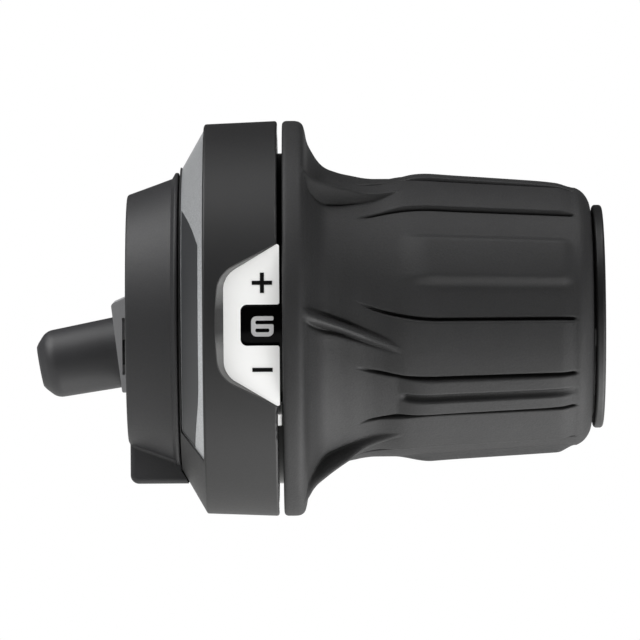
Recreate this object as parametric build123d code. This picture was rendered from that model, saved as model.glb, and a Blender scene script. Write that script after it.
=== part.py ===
from build123d import *
import os
from math import cos, degrees, radians, sin, sqrt, tan

# Twist grip shifter for a bicycle handlebar, in millimetres.
# +X runs along the bar towards its end, +Z is up and the gear window faces -Y.
# The origin lies on the bar's axis, at the inboard face of the clamp collar.
# Angles round the bar start at the front (-Y) and grow towards the top (+Z).

# Handlebar and fits
bar_diameter = 22.2
bar_fit = 0.05
turn_fit = 0.08
seat_fit = 0.03
pass_gap = 0.3

# Clamp collar, web and bearing tube of the bracket
collar_length = 7.25
collar_wall = 6.1
collar_rise = 2.25
collar_round = 0.5
lip_ramp = 0.5
lip_flat = 0.5
lip_height = 0.85
lip_round = 0.25
web_thickness = 2.45
web_depth = 6.1
tube_relief = 0.15
tube_wall = 1.2

# Clamp boss with its slit, bolt and moulded-in insert
slit_width = 1.2
slit_offset = 5.0
slit_overrun = 1.2
front_ear = 6.9
rear_ear = 2.4
boss_inset = 0.2
boss_floor = 1.9
boss_round = 1.2
boss_edge = 0.7
boss_blend = 0.6
bolt_cover = 4.45
bolt_radius = 2.0
bolt_gap = 0.2
bolt_head_radius = 3.3
bolt_head_height = 3.2
bolt_head_round = 0.4
bolt_head_gap = 0.6
hex_key = 3.0
hex_depth = 1.8
insert_radius = 2.9
insert_length = 3.6
insert_inset = 0.4

# Cable outlet on the far side of the collar, and the liner behind it
outlet_tilt = 10.15
outlet_drop = 4.88
outlet_bar_gap = 1.13
outlet_radius = 5.05
outlet_draft = 0.27
outlet_length = 13.15
outlet_chamfer = 1.35
outlet_chamfer_depth = 1.5
outlet_crown = 0.3
outlet_crown_depth = 0.45
outlet_tip_round = 2.2
socket_radius = 2.6
socket_depth = 9.0
cable_radius = 0.6
cable_gap = 0.4
spigot_radius = 3.3
spigot_length = 5.0
foot_top_thickness = 2.77
foot_bottom_thickness = 1.25
foot_above = 7.84
foot_top_slant = 1.21
foot_below = 5.82
foot_side = 0.6
foot_round = 0.5
foot_slot_inset = 0.8
foot_slot_width = 0.4
foot_slot_depth = 0.9
foot_slot_above = 4.7
foot_slot_below = 3.3
outlet_boss_margin = 0.6
outlet_boss_round = 3.0
liner_radius = 1.25
liner_wall = 0.45
liner_bend = 6.0
liner_rise = 6.9

# Housing shell: shoulder cone, ring, back wall and window
seam = 0.2
shell_lip = 2.4
shoulder_length = 3.45
shoulder_round = 0.3
ring_length = 9.96
ring_draft = 0.4
ring_wall = 1.9
ring_round = 0.35
back_wall = 1.4
corner_fill = 1.4
window_length = 7.3
window_left_half = 6.65
window_right_half = 11.0
window_round = 3.2
window_draft = 27.0
window_floor = 0.7
window_floor_gap = 0.45
window_depth = 2.58
plate_thickness = 0.77
plate_round = 0.3
plate_overhang = 0.3
notch_length = 4.98
notch_half = 2.8
notch_round = 0.9
mark_inset = 2.03
mark_spread = 6.05
plus_inset = 0.3
mark_size = 2.75
mark_stroke = 0.55
mark_height = 0.08
trim_start = -45.0
trim_end = 150.0
trim_thickness = 0.5
trim_sink = 0.25
trim_margin = 0.1

# Screws that hold the shell on the bracket
screw_angles = (30.0, 90.0, 150.0)
screw_orbit_gap = 2.8
screw_radius = 1.0
screw_head_radius = 1.9
screw_head_height = 0.9
screw_length = 6.5
screw_slot = 0.5

# Turning works: washer, spool, index ring, spring and number ring
washer_thickness = 0.5
washer_width = 2.1
axial_play = 0.1
spool_length = 3.6
spool_wall = 0.92
spool_lip = 1.4
spool_flange = 1.0
anchor_width = 2.4
anchor_angle = 85.0
stop_angle = 60.0
stop_tab_span = 12.0
stop_tab_height = 1.9
stop_block_span = 10.0
stop_block_height = 1.8
stop_clearance = 1.2
drive_lugs = 3
drive_lug_span = 24.0
drive_lug_length = 0.9
drive_lug_depth = 0.9
hub_wall = 1.6
index_width = 2.5
index_depth = 4.4
gear_count = 6
click_angle = 13.0
notch_depth = 1.15
notch_spread = 1.3
nose_angle = 90.0
nose_tip_gap = 0.25
nose_spread = 1.72
spring_lift = 0.7
spring_thickness = 0.35
spring_tail = 1.6
pin_spread = 30.0
pin_radius = 0.8
pin_seat = 1.0
pin_ring_gap = 0.5
number_ring_wall = 1.2
number_ring_web = 1.2
number_ring_length = 9.1
numeral_width = 3.05
numeral_tall = 2.76
numeral_drop = 0.23
numeral_stroke = 0.58
numeral_round = 0.2
numeral_corner = 0.75
numeral_height = 0.12

# Grip: rigid sleeve and rubber cover
ring_gap = 0.69
sleeve_flange_thickness = 1.45
sleeve_flange_inset = 2.5
sleeve_wall = 2.42
sleeve_end_inset = 0.6
cover_fit = 0.05
flange_width = 2.85
flange_round = 1.6
flange_inner_round = 0.6
flare_length = 9.3
flare_foot = 1.4
flare_foot_rise = 1.7
flare_round = 6.0
neck_length = 4.2
neck_wall = 4.3
grip_length = 42.65
grip_taper = 0.058
end_round = 1.9
end_lip = 0.4
lobes = 3
lobe_angle = 26.6
short_pad_half = 10.0
short_pad_height = 0.8
long_pad_inner = 26.4
long_pad_outer = 51.5
long_pad_height = 0.45
band_height = 0.8
pad_start = 1.0
pad_ramp = 2.4
pad_end_inset = 2.7
line_width = 0.5
line_depth = 0.35
line_start = 1.7
band_groove_width = 1.25
band_groove_depth = 0.5
fin_root_angle = 26.4
fin_tip_angle = 38.7
fin_root_width = 2.7
fin_tip_width = 0.8
fin_root_drop = 1.8
fin_knee_run = 7.0
fin_knee_rise = 1.6
fin_tip_rise = 0.15

# End cap and its snap ring
cap_gap = 0.3
cap_thickness = 1.35
cap_width = 3.0
cap_round = 0.45
cap_hub_length = 2.2
cap_hub_wall = 1.15
cap_foot_span = 9.0
cap_foot_height = 0.2
clip_width = 0.8
clip_depth = 0.4
clip_inset = 0.5
clip_opening = 40.0

# Radii, from the bar outwards
bore_r = bar_diameter / 2 + bar_fit
tube_bore_r = bore_r + tube_relief
tube_r = tube_bore_r + tube_wall
web_r = tube_r + web_depth
sleeve_bore_r = tube_r + turn_fit
hub_r = sleeve_bore_r + hub_wall
spool_groove_r = sleeve_bore_r + spool_wall
spool_r = spool_groove_r + spool_lip
index_r = hub_r + index_depth
spring_r = index_r + spring_lift
pin_orbit = spring_r + spring_thickness + seat_fit + pin_radius
number_ring_in_r = pin_orbit + pin_radius + pin_ring_gap
number_r = number_ring_in_r + number_ring_wall
floor_in = number_r + window_floor_gap
floor_out = floor_in + window_floor
plate_face = floor_out + plate_thickness
ring_r = plate_face + window_depth
cavity_r = ring_r - ring_wall
shoulder_r = web_r + seat_fit + shell_lip
ring_left_r = ring_r - ring_draft
screw_orbit = tube_r + screw_orbit_gap
collar_face_r = bore_r + collar_wall
collar_end_r = collar_face_r + collar_rise
lip_r = collar_end_r + lip_height
sleeve_r = sleeve_bore_r + sleeve_wall
neck_r = sleeve_r + neck_wall
cap_r = tube_r + cap_width
cap_hub_r = tube_r + seat_fit + cap_hub_wall

# Stations along the bar
lip_x = collar_length - lip_flat - lip_ramp
shell_x = collar_length + seam
web_end = collar_length + web_thickness
floor_x = web_end + back_wall
ring_x = shell_x + shoulder_length
ring_end = ring_x + ring_length
spool_x = floor_x + washer_thickness + axial_play
spool_end = spool_x + spool_length
hub_x = spool_end + axial_play
index_x = hub_x + axial_play
index_end = index_x + index_width
flange_x = ring_end + ring_gap
flange_end = flange_x + flange_width
neck_x = flange_end + flare_length
base_x = neck_x + neck_length
grip_end = flange_x + grip_length
sleeve_end = grip_end - sleeve_end_inset
cap_x = grip_end + cap_gap
window_x = ring_end - window_length
notch_x = ring_end - notch_length

# Places across the bar
bolt_x = (boss_inset + collar_length) / 2
bolt_z = -(bore_r + bolt_cover + bolt_radius)
boss_z = bolt_z - bolt_head_radius - boss_floor
boss_front_y = slit_offset - slit_width / 2 - front_ear
boss_rear_y = slit_offset + slit_width / 2 + rear_ear
outlet_reach = bar_diameter / 2 + outlet_bar_gap + outlet_radius
outlet_y = sqrt(outlet_reach ** 2 - outlet_drop ** 2)
foot_half_width = outlet_radius + foot_side
foot_top = foot_above - outlet_drop
foot_bottom = -foot_below - outlet_drop
turn_range = click_angle * (gear_count - 1)
window_slope = (window_right_half - window_left_half) / window_length
lobe_pitch = 360.0 / lobes

from_low = (Align.CENTER, Align.CENTER, Align.MIN)
from_corner = (Align.MIN, Align.MIN, Align.MIN)


# A closed outline from corners given as (x, y) or (x, y, rounding)
def outline(*corners):
    points = [corner[:2] for corner in corners]
    radii = [corner[2] if len(corner) > 2 else 0 for corner in corners]
    return make_face(FilletPolyline(*points, radius=radii, close=True))


# A solid of revolution about the bar's axis, from corners given as (x, radius)
def turned(*corners):
    return revolve(outline(*corners), Axis.X)


# The part of such a solid between two angles
def sector(start, end, *corners):
    section = Rot(X=180 - end) * outline(*corners)
    return revolve(section, Axis.X, end - start)


def ring(x_from, x_to, r_from, r_to):
    return turned((x_from, r_from), (x_from, r_to), (x_to, r_to), (x_to, r_from))


def rod_x(radius, x_from, x_to, z=0):
    return Pos(x_from, 0, z) * Rot(Y=90) * Cylinder(radius, x_to - x_from, align=from_low)


def rod_y(radius, y_from, y_to):
    return Pos(bolt_x, y_from, bolt_z) * Rot(X=-90) * Cylinder(radius, y_to - y_from, align=from_low)


def block(x_from, x_to, y_from, y_to, z_from, z_to):
    size = (x_to - x_from, y_to - y_from, z_to - z_from)
    return Pos(x_from, y_from, z_from) * Box(*size, align=from_corner)


# Moves a shape that was drawn at the top of the bar round to an angle
def at_angle(shape, angle):
    return Rot(X=90 - angle) * shape


# A plane that faces the front, at a distance from the bar's axis
def front_plane(distance):
    return Plane(origin=(0, -distance, 0), x_dir=(1, 0, 0), z_dir=(0, -1, 0))


# A plane across the bar, with its own x to the rear and its own y up
def across_plane(x):
    return Plane(origin=(x, 0, 0), x_dir=(0, 1, 0), z_dir=(1, 0, 0))


# A plane across the cable outlet's axis, at a distance out of the collar's face
def outlet_plane(distance):
    tilt = radians(outlet_tilt)
    outwards = Vector(-cos(tilt), 0, -sin(tilt))
    root = Vector(0, outlet_y, -outlet_drop)
    return Plane(origin=root + outwards * distance, x_dir=(0, 1, 0), z_dir=outwards)


def outlet_rod(radius, from_distance, to_distance):
    return outlet_plane(from_distance) * Cylinder(radius, to_distance - from_distance, align=from_low)


# The liner's way: along the outlet's axis, then up beside the spool's groove
def liner_rod(radius):
    bend_x = spool_x + spool_length / 2 - spool_flange / 2
    start = outlet_plane(-spigot_length - seat_fit).origin
    corner = Vector(bend_x, outlet_y, bend_x * tan(radians(outlet_tilt)) - outlet_drop)
    end = corner + Vector(0, 0, liner_rise)
    way = FilletPolyline(start, corner, end, radius=liner_bend)
    return sweep(Plane(origin=start, z_dir=way % 0) * Circle(radius), path=way)


# The room that the shell takes, grown by the seam on its inboard side
def shell_room():
    return turned(
        (collar_length, 0),
        (collar_length, shoulder_r),
        (ring_x - seam, ring_left_r),
        (ring_x - seam, ring_r + foot_half_width),
        (ring_end, ring_r + foot_half_width),
        (ring_end, 0),
    )


# The groove that the snap ring fills, half in the tube and half in the end cap
def clip_room():
    start = cap_x - clip_inset - clip_width - seat_fit
    end = cap_x - clip_inset + seat_fit
    return ring(start, end, tube_r - clip_depth, tube_r + clip_depth + seat_fit)


def screw_rod(radius, angle):
    return at_angle(rod_x(radius, floor_x - screw_length, floor_x, screw_orbit), angle)


def bracket():
    body = turned(
        (0, 0),
        (0, collar_face_r, collar_round),
        (lip_x, collar_end_r),
        (lip_x + lip_ramp, lip_r, lip_round),
        (collar_length, lip_r, lip_round),
        (collar_length, 0),
    )
    boss = block(boss_inset, ring_x, boss_front_y, boss_rear_y, boss_z, 0)
    boss = fillet(boss.edges().filter_by(Axis.Y).sort_by(Axis.Z)[:2], boss_round)
    front_edges = boss.faces().sort_by(Axis.Y)[0].edges()
    boss = fillet(front_edges.filter_by(Axis.X).sort_by(Axis.Z)[:1], boss_edge)
    body += boss
    front_creases = body.edges().filter_by(GeomType.HYPERBOLA).group_by(Axis.Y)[0]
    body = fillet(front_creases.sort_by(SortBy.LENGTH)[-1:], boss_blend)
    outlet_boss_rear = outlet_y + foot_half_width + outlet_boss_margin
    outlet_boss_z = (foot_bottom - outlet_boss_margin, foot_top + outlet_boss_margin)
    outlet_boss = block(0, ring_x, 0, outlet_boss_rear, *outlet_boss_z)
    outlet_boss = fillet(outlet_boss.edges().filter_by(Axis.X).sort_by(Axis.Y)[-2:], outlet_boss_round)
    body = body + outlet_boss - shell_room()
    body = body + rod_x(web_r, lip_x, web_end) + rod_x(tube_r, lip_x, cap_x)
    body -= rod_x(bore_r, -seam, collar_length) + rod_x(tube_bore_r, collar_length, cap_x + cap_gap)
    slit_y = (slit_offset - slit_width / 2, slit_offset + slit_width / 2)
    slit_top = -sqrt(bore_r ** 2 - slit_y[1] ** 2) + slit_width
    body -= block(-seam, collar_length + slit_overrun, *slit_y, boss_z - slit_width, slit_top)
    insert_start = slit_y[0] - insert_inset - insert_length
    body -= rod_y(bolt_radius + bolt_gap, insert_start - insert_inset, boss_rear_y)
    body -= rod_y(insert_radius + seat_fit, insert_start - seat_fit, slit_y[0] - insert_inset + seat_fit)
    body -= rod_y(bolt_head_radius + bolt_head_gap, boss_rear_y, outlet_y + foot_half_width)
    body -= outlet_rod(spigot_radius + seat_fit, -spigot_length - seat_fit, outlet_length)
    body -= liner_rod(liner_radius + seat_fit)
    for angle in screw_angles:
        body -= screw_rod(screw_radius + seat_fit, angle)
    return body - clip_room()


def clamp_bolt():
    head = rod_y(bolt_head_radius, boss_rear_y, boss_rear_y + bolt_head_height)
    head = fillet(head.edges().sort_by(Axis.Y)[-1:], bolt_head_round)
    shank_end = slit_offset - slit_width / 2 - insert_inset - insert_length
    socket = Pos(bolt_x, boss_rear_y + bolt_head_height, bolt_z) * Rot(X=90)
    key = extrude(RegularPolygon(hex_key / 2, 6, major_radius=False), hex_depth)
    return head + rod_y(bolt_radius, shank_end, boss_rear_y) - socket * key


def clamp_insert():
    end = slit_offset - slit_width / 2 - insert_inset
    start = end - insert_length
    return rod_y(insert_radius, start, end) - rod_y(bolt_radius + seat_fit, start, end)


# The flat pocket's outline round the window, grown on every side but the right
def window_outline(grow, right):
    left = window_x - grow
    slant = grow * sqrt(1 + window_slope ** 2)
    left_half = window_left_half + slant - window_slope * grow
    right_half = window_right_half + slant + window_slope * (right - ring_end)
    return outline(
        (left, left_half, window_round + grow),
        (right, right_half),
        (right, -right_half),
        (left, -left_half, window_round + grow),
    )


def notch_outline(grow, right):
    half = notch_half + grow
    left = notch_x - grow
    return outline((left, half, notch_round), (right, half), (right, -half), (left, -half, notch_round))


# The trim's shape on the shoulder cone, sunk below its face or grown by a fit on the other sides
def trim_shape(sink, grow):
    run = Vector(shoulder_length, ring_left_r - shoulder_r)
    along = run.normalized()
    inwards = Vector(along.Y, -along.X)
    start = Vector(shell_x, shoulder_r)
    low = start + along * (trim_margin - grow)
    high = start + run - along * (trim_margin + shoulder_round - grow)
    face = inwards * sink
    back = inwards * (trim_sink + trim_thickness + grow)
    side = degrees(grow / shoulder_r)
    corners = [(point.X, point.Y) for point in (low + face, high + face, high + back, low + back)]
    return sector(trim_start - side, trim_end + side, *corners)


# The front slab that carries the plate, kept inside the ring's wall
def window_slab():
    half = sqrt(cavity_r ** 2 - floor_in ** 2)
    slab = block(floor_x, ring_end, -ring_r, -floor_in, -half, half)
    return slab & rod_x(cavity_r + ring_wall / 4, floor_x, ring_end)


def housing_shell():
    body = turned(
        (shell_x, web_r + seat_fit),
        (shell_x, shoulder_r),
        (ring_x, ring_left_r, shoulder_round),
        (ring_end, ring_r, ring_round),
        (ring_end, cavity_r),
        (floor_x + corner_fill, cavity_r),
        (floor_x, cavity_r - corner_fill),
        (floor_x, tube_r + seat_fit),
        (web_end, tube_r + seat_fit),
        (web_end, web_r + seat_fit),
    )
    body += window_slab()
    right = ring_end + window_depth
    pocket = window_outline(seat_fit, right)
    body -= front_plane(floor_out) * extrude(pocket, plate_thickness + seat_fit)
    body -= front_plane(plate_face) * extrude(pocket, window_depth * 2, taper=-window_draft)
    body -= front_plane(number_r) * extrude(notch_outline(seat_fit, right), window_depth)
    body -= trim_shape(0, seat_fit)
    for block_start in stop_block_starts():
        body += sector(block_start, block_start + stop_block_span, *stop_block_corners())
    for angle in screw_angles:
        body -= screw_rod(screw_radius + seat_fit, angle) + screw_head(seat_fit, angle)
    for side in (-1, 1):
        hole = rod_x(pin_radius + seat_fit, floor_x - pin_seat - seat_fit, floor_x, pin_orbit)
        body -= at_angle(hole, nose_angle + side * pin_spread)
    return body - liner_rod(liner_radius + seat_fit)


# Two blocks on the back wall stop the spool's tab at both ends of its turn
def stop_block_starts():
    upper = stop_angle + stop_tab_span / 2 + stop_clearance
    lower = stop_angle - turn_range - stop_tab_span / 2 - stop_clearance - stop_block_span
    return upper, lower


def stop_block_corners():
    inner = spool_r + pass_gap
    outer = spool_r + stop_tab_height + stop_block_height / 3
    end = floor_x + stop_block_height
    return (floor_x, inner), (floor_x, outer), (end, outer), (end, inner)


def screw_head(grow, angle):
    radius = screw_head_radius + grow
    cone = Cone(radius, screw_radius + grow, screw_head_height + grow, align=from_low)
    return at_angle(Pos(floor_x, 0, screw_orbit) * Rot(Y=-90) * cone, angle)


def shell_screw(angle):
    cross = Rectangle(screw_head_radius, screw_slot) + Rectangle(screw_slot, screw_head_radius)
    recess = Pos(floor_x, 0, screw_orbit) * Rot(Y=-90) * extrude(cross, screw_slot)
    return screw_rod(screw_radius, angle) + screw_head(0, angle) - at_angle(recess, angle)


def indicator_plate():
    right = ring_end + plate_overhang
    face = window_outline(0, right) - notch_outline(0, right + notch_round)
    face = fillet(face.vertices().group_by(Axis.X)[-1], plate_round)
    return front_plane(floor_out) * extrude(face, plate_thickness)


def mark_bar(height, width, tall):
    face = Pos(ring_end - mark_inset, height) * Rectangle(width, tall)
    return front_plane(plate_face) * extrude(face, mark_height)


def plus_mark():
    height = mark_spread - plus_inset
    return mark_bar(height, mark_size, mark_stroke) + mark_bar(height, mark_stroke, mark_size)


def minus_mark():
    return mark_bar(-mark_spread, mark_size, mark_stroke)


# The outlet's tube from the collar's face to its chamfer, grown by a fit
def outlet_tube(grow):
    radius = outlet_radius + grow
    root = outlet_rod(radius, -spigot_length, 0)
    length = outlet_length - outlet_chamfer - outlet_crown
    taper = outlet_plane(0) * Cone(radius, radius - outlet_draft, length, align=from_low)
    tube_y = (outlet_y - foot_half_width, outlet_y + foot_half_width)
    return root + taper - block(0, spigot_length + radius, *tube_y, foot_bottom, foot_top)


def cable_outlet():
    tip_radius = outlet_radius - outlet_draft
    crown_radius = tip_radius - outlet_chamfer_depth
    mouth_radius = crown_radius - outlet_crown_depth
    crown_start = outlet_length - outlet_crown
    chamfer_start = crown_start - outlet_chamfer
    body = outlet_tube(0)
    body += outlet_plane(chamfer_start) * Cone(tip_radius, crown_radius, outlet_chamfer, align=from_low)
    body += outlet_plane(crown_start) * Cone(crown_radius, mouth_radius, outlet_crown, align=from_low)
    tip_axis = Axis(outlet_plane(0).origin, outlet_plane(0).z_dir)
    tip_edges = body.edges().filter_by(GeomType.CIRCLE).sort_by(tip_axis)
    body = fillet(tip_edges[-3:-2], outlet_tip_round)
    body += outlet_rod(spigot_radius, -spigot_length, foot_bottom_thickness)
    body -= outlet_rod(socket_radius, outlet_length - socket_depth, outlet_length)
    return body - outlet_rod(cable_radius + cable_gap, -spigot_length, outlet_length)


# The wedge-shaped foot that the outlet's tube passes through
def outlet_foot():
    side = outline(
        (0, foot_top, foot_round),
        (-foot_top_thickness, foot_top - foot_top_slant, foot_round),
        (-foot_bottom_thickness, foot_bottom, foot_round / 2),
        (0, foot_bottom, foot_round / 2),
    )
    foot_front = outlet_y - foot_half_width
    body = front_plane(-foot_front) * extrude(side, -2 * foot_half_width)
    slot_x = -foot_slot_inset - foot_slot_width
    slot_z = (-outlet_drop - foot_slot_below, -outlet_drop + foot_slot_above)
    slot = block(slot_x, slot_x + foot_slot_width, foot_front, foot_front + foot_slot_depth, *slot_z)
    return body - outlet_tube(seat_fit) - slot


def cable_guide():
    return liner_rod(liner_radius) - liner_rod(liner_radius - liner_wall)


# A leaf over the index ring, with a nose in one notch and a tail behind each pin
def detent_spring():
    ends = (index_x + axial_play, index_end - axial_play)
    outer = spring_r + spring_thickness
    nose_half = degrees(nose_spread / outer)
    tail = pin_spread + degrees((pin_radius + seat_fit) / pin_orbit)
    thick = degrees(spring_thickness / pin_orbit)
    strip = ((ends[0], spring_r), (ends[0], outer), (ends[1], outer), (ends[1], spring_r))
    tail_top = outer + spring_tail
    hook = ((ends[0], spring_r), (ends[0], tail_top), (ends[1], tail_top), (ends[1], spring_r))
    body = sector(nose_angle + nose_half - thick, nose_angle + tail + thick, *strip)
    body += sector(nose_angle - tail - thick, nose_angle - nose_half + thick, *strip)
    body += sector(nose_angle + tail, nose_angle + tail + thick, *hook)
    body += sector(nose_angle - tail - thick, nose_angle - tail, *hook)
    nose_tip = index_r - notch_depth + nose_tip_gap
    shoulder = sqrt(outer ** 2 - nose_spread ** 2)
    leg = spring_thickness * sqrt(1 + ((shoulder - nose_tip) / nose_spread) ** 2)
    face = outline(
        (-nose_spread, shoulder),
        (-nose_spread, shoulder - spring_thickness),
        (0, nose_tip),
        (nose_spread, shoulder - spring_thickness),
        (nose_spread, shoulder),
        (0, nose_tip + leg),
    )
    nose = across_plane(ends[0]) * extrude(face, ends[1] - ends[0])
    return body + at_angle(nose, nose_angle)


def spring_pin(side):
    pin = rod_x(pin_radius, floor_x - pin_seat, index_end, pin_orbit)
    return at_angle(pin, nose_angle + side * pin_spread)


def thrust_washer():
    return ring(floor_x, floor_x + washer_thickness, sleeve_bore_r, sleeve_bore_r + washer_width)


# Angles where the sleeve's lugs drive the spool
def lug_angles():
    return [lobe_angle + 360 / drive_lugs * number for number in range(drive_lugs)]


def lug_sector(angle, grow):
    half = drive_lug_span / 2 + degrees(grow / hub_r)
    start = hub_x - drive_lug_length - grow
    low = hub_r - drive_lug_depth - grow
    high = hub_r + grow
    return sector(angle - half, angle + half, (start, low), (start, high), (hub_x, high), (hub_x, low))


def winding_spool():
    body = turned(
        (spool_x, sleeve_bore_r),
        (spool_x, spool_r),
        (spool_x + spool_flange, spool_r),
        (spool_x + spool_flange, spool_groove_r, cable_radius),
        (spool_end - spool_flange, spool_groove_r, cable_radius),
        (spool_end - spool_flange, spool_r),
        (spool_end, spool_r),
        (spool_end, sleeve_bore_r),
    )
    tab_end = spool_x + spool_flange
    tab_r = spool_r + stop_tab_height
    body += sector(
        stop_angle - stop_tab_span / 2,
        stop_angle + stop_tab_span / 2,
        (spool_x, spool_groove_r),
        (spool_x, tab_r),
        (tab_end, tab_r),
        (tab_end, spool_groove_r),
    )
    for angle in lug_angles():
        body -= lug_sector(angle, turn_fit)
    half = anchor_width / 2
    anchor_x = spool_end - spool_flange - cable_radius
    anchor_z = (sleeve_bore_r + spool_wall / 2, spool_r + spool_lip)
    anchor = block(anchor_x, spool_end + axial_play, -half, half, *anchor_z)
    return body - at_angle(anchor, anchor_angle)


def index_ring():
    body = ring(index_x, index_end, hub_r + seat_fit, index_r)
    bottom = index_r - notch_depth
    rim = index_r + notch_depth
    spread = notch_spread * (rim - bottom) / notch_depth
    face = outline((0, bottom), (spread, rim), (-spread, rim))
    notch = across_plane(index_x) * extrude(face, index_width)
    for click in range(gear_count):
        body -= at_angle(notch, nose_angle + click * click_angle)
    return body


def number_ring():
    start = flange_x - number_ring_length
    web_x = flange_x - number_ring_web
    return turned(
        (start, number_ring_in_r),
        (start, number_r),
        (flange_x, number_r),
        (flange_x, hub_r + seat_fit),
        (web_x, hub_r + seat_fit),
        (web_x, number_ring_in_r),
    )


# Numerals of straight bars: t, m and b lie at the top, middle and bottom,
# u and v stand upper and lower right, k and l stand upper and lower left
numeral_bars = {1: "uv", 2: "tumlb", 3: "tumvb", 4: "uvmk", 5: "tkmvb", 6: "tkmlvb"}
numeral_joins = {"tk": (-1, 1), "tu": (1, 1), "lb": (-1, -1), "vb": (1, -1)}


def gear_numeral(gear):
    stroke = numeral_stroke
    right = (numeral_width - stroke) / 2
    top = (numeral_tall - stroke) / 2
    half = numeral_tall / 2
    bars = {
        "t": (0, top, numeral_width, stroke),
        "m": (0, 0, numeral_width, stroke),
        "b": (0, -top, numeral_width, stroke),
        "u": (right, half / 2, stroke, half),
        "v": (right, -half / 2, stroke, half),
        "k": (-right, half / 2, stroke, half),
        "l": (-right, -half / 2, stroke, half),
    }
    face = Sketch()
    for name in numeral_bars[gear]:
        x, y, width, tall = bars[name]
        face += Pos(x, y) * Rectangle(width, tall)
    joins = [side for pair, side in numeral_joins.items() if set(pair) <= set(numeral_bars[gear])]
    corners = [Vector(x * numeral_width / 2, y * half) for x, y in joins]

    def is_join(vertex):
        return any((Vector(vertex) - corner).length < stroke / 2 for corner in corners)

    face = fillet([v for v in face.vertices() if not is_join(v)], min(numeral_round, 0.4 * stroke))
    if corners:
        face = fillet([v for v in face.vertices() if is_join(v)], numeral_corner)
    face = Pos(ring_end - mark_inset, -numeral_drop) * face
    solid = front_plane(number_r - ring_wall) * extrude(face, 2 * ring_wall)
    skin = ring(notch_x, flange_x, number_r, number_r + numeral_height)
    return Rot(X=-click_angle * (gear_count - gear)) * (solid & skin)


def grip_sleeve():
    disc_r = ring_r - sleeve_flange_inset
    disc_end = flange_x + sleeve_flange_thickness
    pocket_x = cap_x - cap_hub_length - pass_gap
    pocket_r = cap_hub_r + pass_gap
    body = turned(
        (hub_x, sleeve_bore_r),
        (hub_x, hub_r),
        (flange_x, hub_r),
        (flange_x, disc_r),
        (disc_end, disc_r),
        (disc_end, sleeve_r),
        (sleeve_end, sleeve_r),
        (sleeve_end, pocket_r),
        (pocket_x, pocket_r),
        (pocket_x, sleeve_bore_r),
    )
    for angle in lug_angles():
        body += lug_sector(angle, 0)
    return body


# The cover's plain radius along the tapered barrel
def barrel_r(x):
    return neck_r - grip_taper * max(0, x - base_x)


# A raised stretch of the barrel between two angles
def pad(start_angle, end_angle, start_x, height):
    end_x = grip_end - pad_end_inset
    top_x = (start_x + pad_ramp, end_x - pad_ramp)
    return sector(
        start_angle,
        end_angle,
        (start_x, sleeve_r + cover_fit),
        (start_x, barrel_r(start_x)),
        (top_x[0], barrel_r(top_x[0]) + height),
        (top_x[1], barrel_r(top_x[1]) + height),
        (end_x, barrel_r(end_x)),
        (end_x, sleeve_r + cover_fit),
    )


# A groove along the barrel, with its floor at a height over the plain radius
def line_cut(angle, start_x, width, floor):
    half = degrees(width / 2 / neck_r)
    end_x = grip_end - pad_end_inset
    return sector(
        angle - half,
        angle + half,
        (start_x, barrel_r(start_x) + floor),
        (start_x, neck_r + neck_wall),
        (end_x, neck_r + neck_wall),
        (end_x, barrel_r(end_x) + floor),
    )


# A gusset fin that leans across the flare, drawn at the top of the bar
def fin(side):
    root_x = flange_end - flange_round / 2
    tip_x = base_x + pad_start
    middle = (fin_root_angle + fin_tip_angle) / 2
    lean = radians((fin_tip_angle - fin_root_angle) / 2) * side
    root_r = ring_r - fin_root_drop
    root_y = -root_r * sin(lean)
    tip_y = neck_r * sin(lean)
    profile = outline(
        (root_x, sleeve_r + neck_wall / 2),
        (root_x, root_r),
        (root_x + fin_knee_run, neck_r + fin_knee_rise),
        (tip_x, neck_r + fin_tip_rise),
        (tip_x, sleeve_r + neck_wall / 2),
    )
    plan = outline(
        (root_x, root_y - fin_root_width / 2),
        (root_x, root_y + fin_root_width / 2),
        (tip_x, tip_y + fin_tip_width / 2),
        (tip_x, tip_y - fin_tip_width / 2),
    )
    wall = front_plane(ring_r) * extrude(profile, -2 * ring_r)
    return at_angle(wall & extrude(plan, ring_r), 90 + side * middle)


def grip_cover():
    recess_r = ring_r - sleeve_flange_inset + cover_fit
    recess_x = flange_x + sleeve_flange_thickness + cover_fit
    foot_x = flange_end + flare_foot
    wall_r = sleeve_r + cover_fit
    end_x = sleeve_end + cover_fit
    body = turned(
        (flange_x, recess_r),
        (flange_x, ring_r, flange_inner_round),
        (flange_end, ring_r, flange_round),
        (foot_x, neck_r + flare_foot_rise, flare_round),
        (neck_x, neck_r),
        (base_x, neck_r),
        (grip_end, barrel_r(grip_end), end_round),
        (grip_end, wall_r - end_lip),
        (end_x, wall_r - end_lip),
        (end_x, wall_r),
        (recess_x, wall_r),
        (recess_x, recess_r),
    )
    pad_x = base_x + pad_start
    line_x = neck_x - line_start
    for lobe in range(lobes):
        centre = lobe_angle + lobe * lobe_pitch
        body += pad(centre - short_pad_half, centre + short_pad_half, pad_x, short_pad_height)
        body += pad(centre + long_pad_outer, centre + lobe_pitch - long_pad_outer, pad_x, band_height)
        for side in (-1, 1):
            pad_ends = sorted((centre + side * long_pad_inner, centre + side * long_pad_outer))
            body += pad(*pad_ends, base_x - pad_ramp, long_pad_height)
            body += Rot(X=90 - centre) * fin(side)
    for lobe in range(lobes):
        centre = lobe_angle + lobe * lobe_pitch
        groove_floor = band_height - band_groove_depth
        body -= line_cut(centre + lobe_pitch / 2, pad_x, band_groove_width, groove_floor)
        for side in (-1, 1):
            body -= line_cut(centre + side * long_pad_inner, line_x, line_width, -line_depth)
            body -= line_cut(centre + side * long_pad_outer, line_x, line_width, -line_depth)
    return body


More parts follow.
